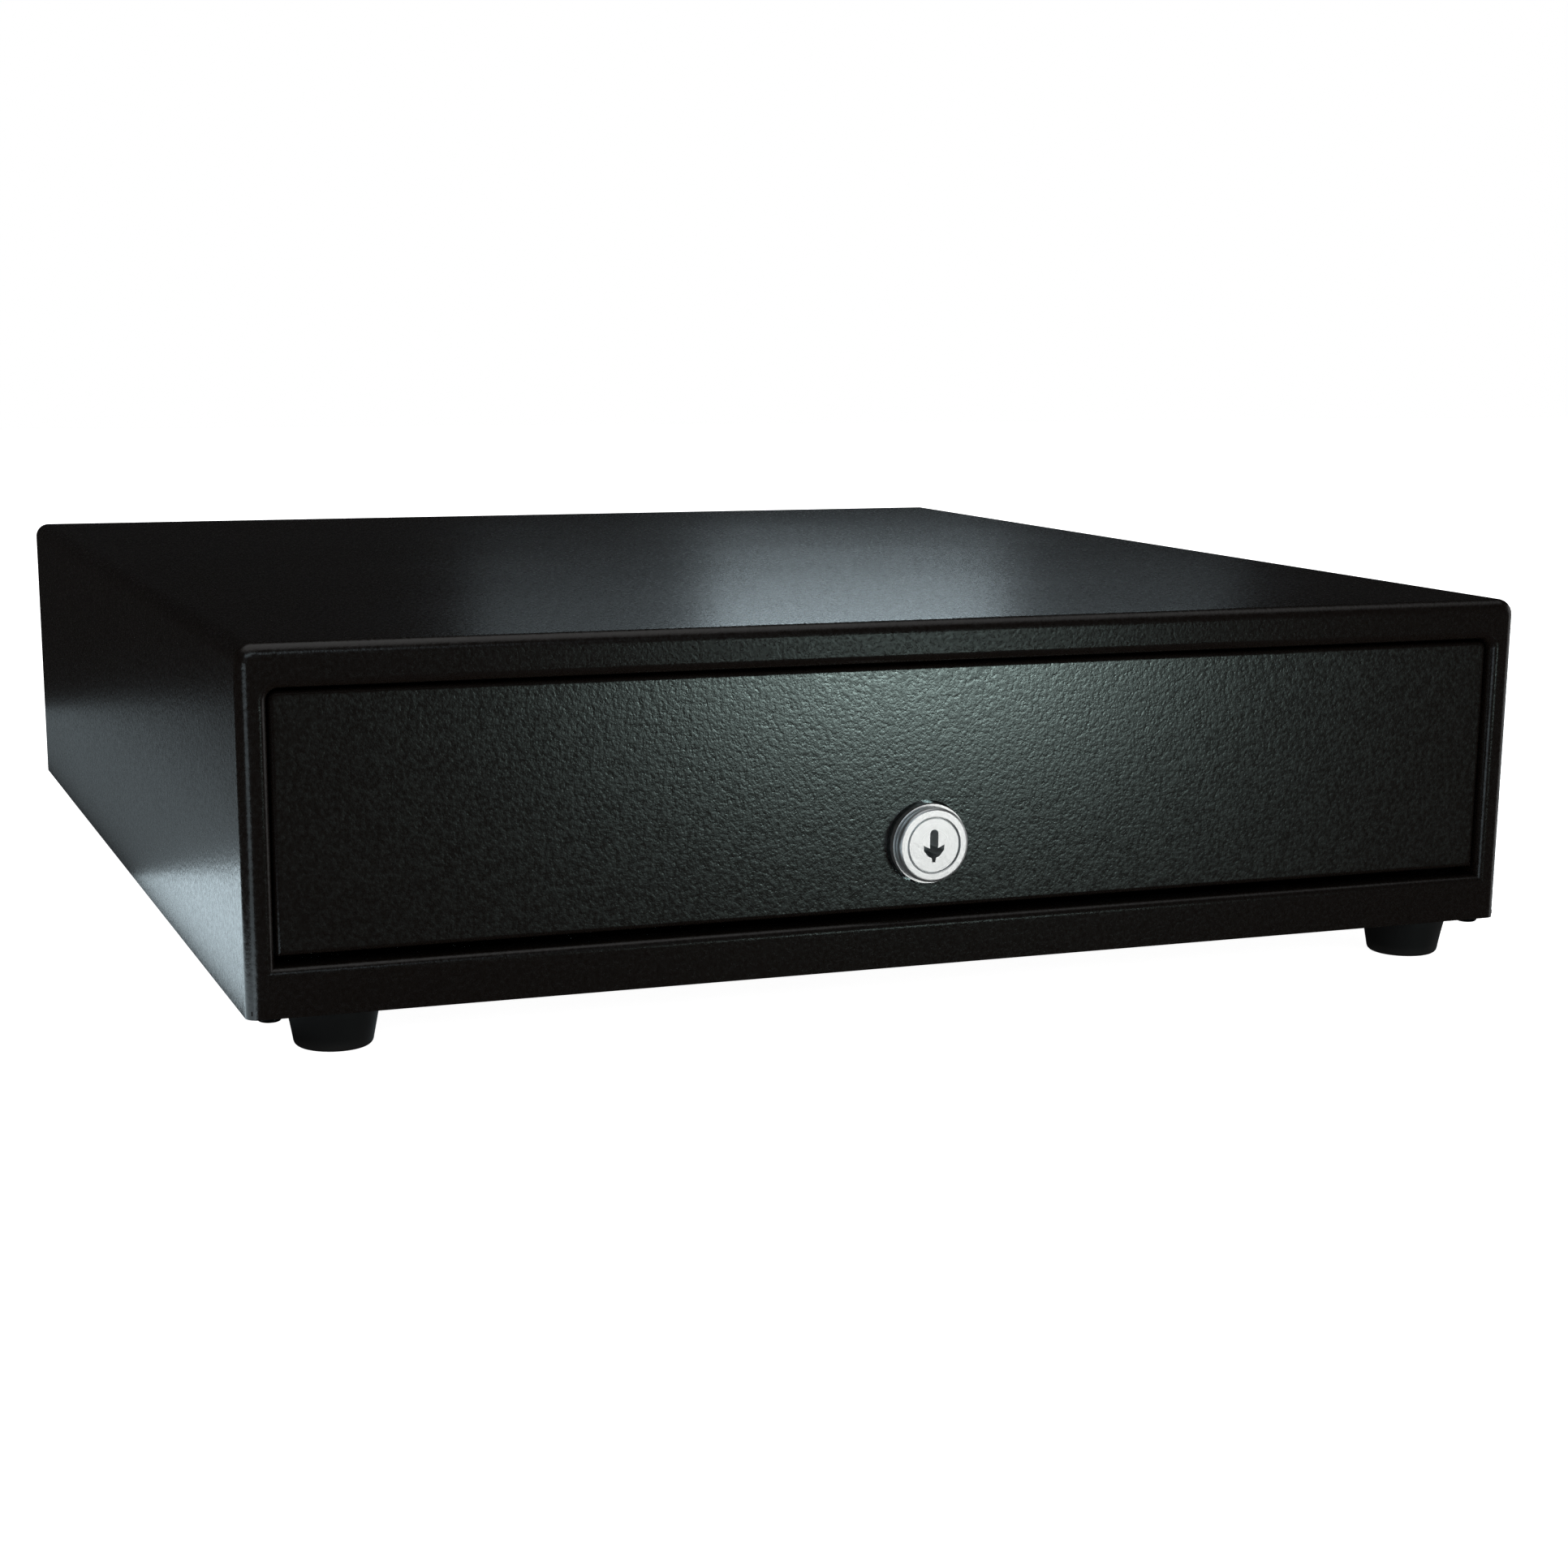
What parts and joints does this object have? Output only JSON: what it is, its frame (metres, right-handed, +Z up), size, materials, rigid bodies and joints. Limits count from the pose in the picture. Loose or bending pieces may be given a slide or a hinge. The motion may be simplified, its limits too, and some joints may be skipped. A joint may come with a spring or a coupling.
{
  "type": "cash drawer",
  "caption": "Steel cash drawer with a keyed lock, ball slides, a till with note clips and coin cups, and a solenoid latch.",
  "frame": {"origin": "middle of the footprint, on the surface under the feet", "axes": "+Z up; -Y is the front, where the drawer opens; +X to the right for somebody facing the drawer"},
  "size_m": [0.4, 0.448, 0.113],
  "materials": {
    "powder_coat": "fine-texture black powder coat on steel sheet",
    "rubber": "moulded black rubber",
    "black_screw": "black oxide",
    "zinc_steel": "galvanised or zinc-plated steel",
    "slide_steel": "bright zinc-plated, lightly greased",
    "lock_chrome": "chromed die casting, turned face",
    "spring_steel": "drawn spring steel",
    "till_plastic": "moulded black ABS with a fine spark-eroded grain",
    "dark_plastic": "moulded nylon",
    "circuit_board": "solder-masked glass laminate",
    "lead_insulation": "PVC insulation"
  },
  "bodies": {
    "case": {"case_shell": "powder_coat", "base_plate": "powder_coat", "rear_panel": "powder_coat", "rubber_feet": "rubber", "foot_screws": "zinc_steel", "base_screws": "black_screw", "rear_screws": "black_screw", "left_rail_bracket": "zinc_steel", "right_rail_bracket": "zinc_steel", "left_outer_rail": "slide_steel", "right_outer_rail": "slide_steel", "rail_rivets": "zinc_steel", "latch_frame": "zinc_steel", "latch_pin": "zinc_steel", "latch_spring": "spring_steel", "solenoid_frame": "zinc_steel", "solenoid_coil": "dark_plastic", "solenoid_lead": "lead_insulation", "spring_bracket": "zinc_steel", "kick_spring": "spring_steel", "switch_bracket": "zinc_steel", "drawer_switch": "dark_plastic", "circuit_board": "circuit_board", "board_standoffs": "zinc_steel", "cable_jack": "dark_plastic"},
    "drawer": {"drawer_front": "powder_coat", "drawer_pan": "zinc_steel", "front_nuts": "zinc_steel", "left_inner_rail": "slide_steel", "right_inner_rail": "slide_steel", "lock_bracket": "zinc_steel", "lock_housing": "lock_chrome", "lock_nut": "zinc_steel", "latch_striker": "zinc_steel", "till_tray": "till_plastic", "coin_tray": "till_plastic", "clip_pins": "spring_steel", "clip_springs": "spring_steel"},
    "lock_core": {"lock_plug": "lock_chrome", "lock_cam": "zinc_steel", "cam_screw": "zinc_steel"},
    "latch": {"latch_hook": "zinc_steel"},
    "plunger": {"solenoid_plunger": "spring_steel", "plunger_pin": "spring_steel"},
    "switch_button": {"switch_button": "dark_plastic"},
    "left_mid_rail": {"left_mid_rail": "slide_steel"},
    "left_outer_cage": {"left_outer_ball_cage": "slide_steel"},
    "left_inner_cage": {"left_inner_ball_cage": "slide_steel"},
    "right_mid_rail": {"right_mid_rail": "slide_steel"},
    "right_outer_cage": {"right_outer_ball_cage": "slide_steel"},
    "right_inner_cage": {"right_inner_ball_cage": "slide_steel"},
    "note_clip_1": {"note_clip_1": "till_plastic"},
    "note_clip_2": {"note_clip_2": "till_plastic"},
    "note_clip_3": {"note_clip_3": "till_plastic"},
    "note_clip_4": {"note_clip_4": "till_plastic"},
    "note_clip_5": {"note_clip_5": "till_plastic"}
  },
  "joints": [
    {"name": "drawer_slide", "type": "slide", "parent": "case", "child": "drawer", "axis": [0, -1, 0], "range_m": [0, 0.33]},
    {"name": "left_mid_rail_slide", "type": "slide", "parent": "case", "child": "left_mid_rail", "axis": [0, -1, 0], "range_m": [0, 0.165]},
    {"name": "left_outer_cage_slide", "type": "slide", "parent": "case", "child": "left_outer_cage", "axis": [0, -1, 0], "range_m": [0, 0.0825]},
    {"name": "left_inner_cage_slide", "type": "slide", "parent": "case", "child": "left_inner_cage", "axis": [0, -1, 0], "range_m": [0, 0.2475]},
    {"name": "right_mid_rail_slide", "type": "slide", "parent": "case", "child": "right_mid_rail", "axis": [0, -1, 0], "range_m": [0, 0.165]},
    {"name": "right_outer_cage_slide", "type": "slide", "parent": "case", "child": "right_outer_cage", "axis": [0, -1, 0], "range_m": [0, 0.0825]},
    {"name": "right_inner_cage_slide", "type": "slide", "parent": "case", "child": "right_inner_cage", "axis": [0, -1, 0], "range_m": [0, 0.2475]},
    {"name": "lock_turn", "type": "hinge", "parent": "drawer", "child": "lock_core", "pos_m": [0, -0.2, 0.048], "axis": [0, 1, 0], "range_deg": [0, 90]},
    {"name": "latch_swing", "type": "hinge", "parent": "case", "child": "latch", "pos_m": [0.004, 0.19, 0.049], "axis": [0, 0, -1], "range_deg": [0, 20]},
    {"name": "plunger_slide", "type": "slide", "parent": "case", "child": "plunger", "axis": [1, 0, 0], "range_m": [0, 0.00486]},
    {"name": "switch_press", "type": "slide", "parent": "case", "child": "switch_button", "axis": [0, 1, 0], "range_m": [0, 0.0008], "stiffness_N_per_m": 200},
    {"name": "note_clip_1_hinge", "type": "hinge", "parent": "drawer", "child": "note_clip_1", "pos_m": [-0.14184, 0.137, 0.087], "axis": [-1, 0, 0], "range_deg": [0, 26]},
    {"name": "note_clip_2_hinge", "type": "hinge", "parent": "drawer", "child": "note_clip_2", "pos_m": [-0.07092, 0.137, 0.087], "axis": [-1, 0, 0], "range_deg": [0, 26]},
    {"name": "note_clip_3_hinge", "type": "hinge", "parent": "drawer", "child": "note_clip_3", "pos_m": [0, 0.137, 0.087], "axis": [-1, 0, 0], "range_deg": [0, 26]},
    {"name": "note_clip_4_hinge", "type": "hinge", "parent": "drawer", "child": "note_clip_4", "pos_m": [0.07092, 0.137, 0.087], "axis": [-1, 0, 0], "range_deg": [0, 26]},
    {"name": "note_clip_5_hinge", "type": "hinge", "parent": "drawer", "child": "note_clip_5", "pos_m": [0.14184, 0.137, 0.087], "axis": [-1, 0, 0], "range_deg": [0, 26]}
  ],
  "couplings": [
    {"joint": "left_mid_rail_slide", "follows": "drawer_slide", "ratio": 0.5},
    {"joint": "left_outer_cage_slide", "follows": "drawer_slide", "ratio": 0.25},
    {"joint": "left_inner_cage_slide", "follows": "drawer_slide", "ratio": 0.75},
    {"joint": "right_mid_rail_slide", "follows": "drawer_slide", "ratio": 0.5},
    {"joint": "right_outer_cage_slide", "follows": "drawer_slide", "ratio": 0.25},
    {"joint": "right_inner_cage_slide", "follows": "drawer_slide", "ratio": 0.75},
    {"joint": "latch_swing", "follows": "plunger_slide", "rad_per_m": 71.8}
  ]
}
